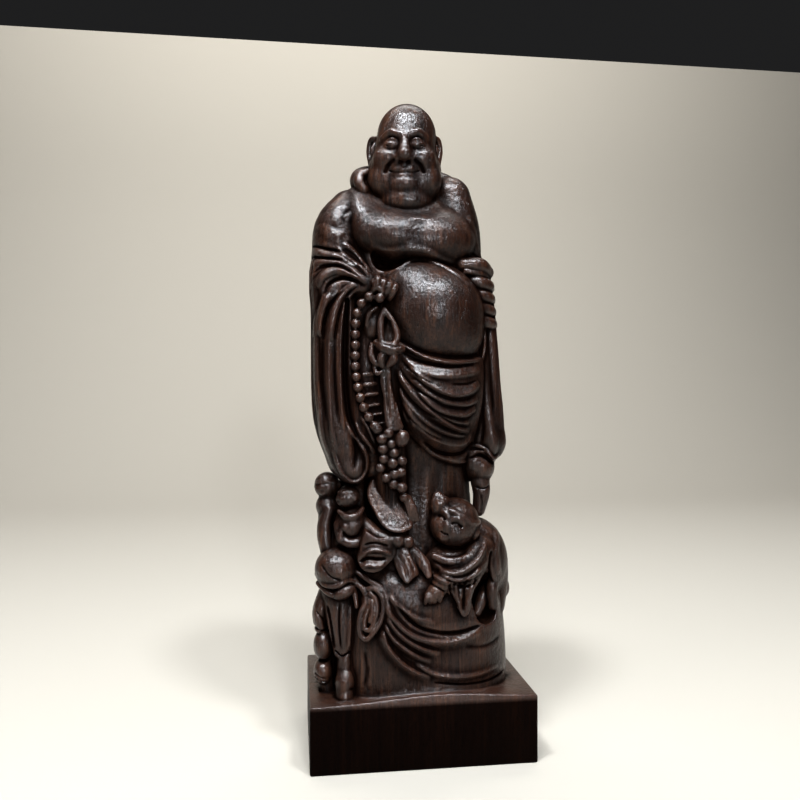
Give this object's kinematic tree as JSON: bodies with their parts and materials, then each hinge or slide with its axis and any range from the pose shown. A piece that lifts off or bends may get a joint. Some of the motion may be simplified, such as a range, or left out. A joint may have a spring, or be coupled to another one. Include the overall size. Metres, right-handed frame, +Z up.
{
  "type": "carved wooden figure",
  "caption": "Standing stout monk carved in dark wood, bare-bellied in a long-sleeved robe with prayer beads, on a tied sack climbed by boys, with its plinth.",
  "frame": {"origin": "middle of the plinth's underside, on the surface it stands on", "axes": "+Z up, +X to the viewer's right, front of the figure towards -Y"},
  "size_m": [0.1, 0.07, 0.3],
  "materials": {
    "carved_wood": "very dark rosewood-like hardwood, waxed to a gloss on the high forms, red-brown grain upright, darker in the cuts"
  },
  "bodies": {
    "root": {"budai_carving": "carved_wood"}
  },
  "joints": []
}
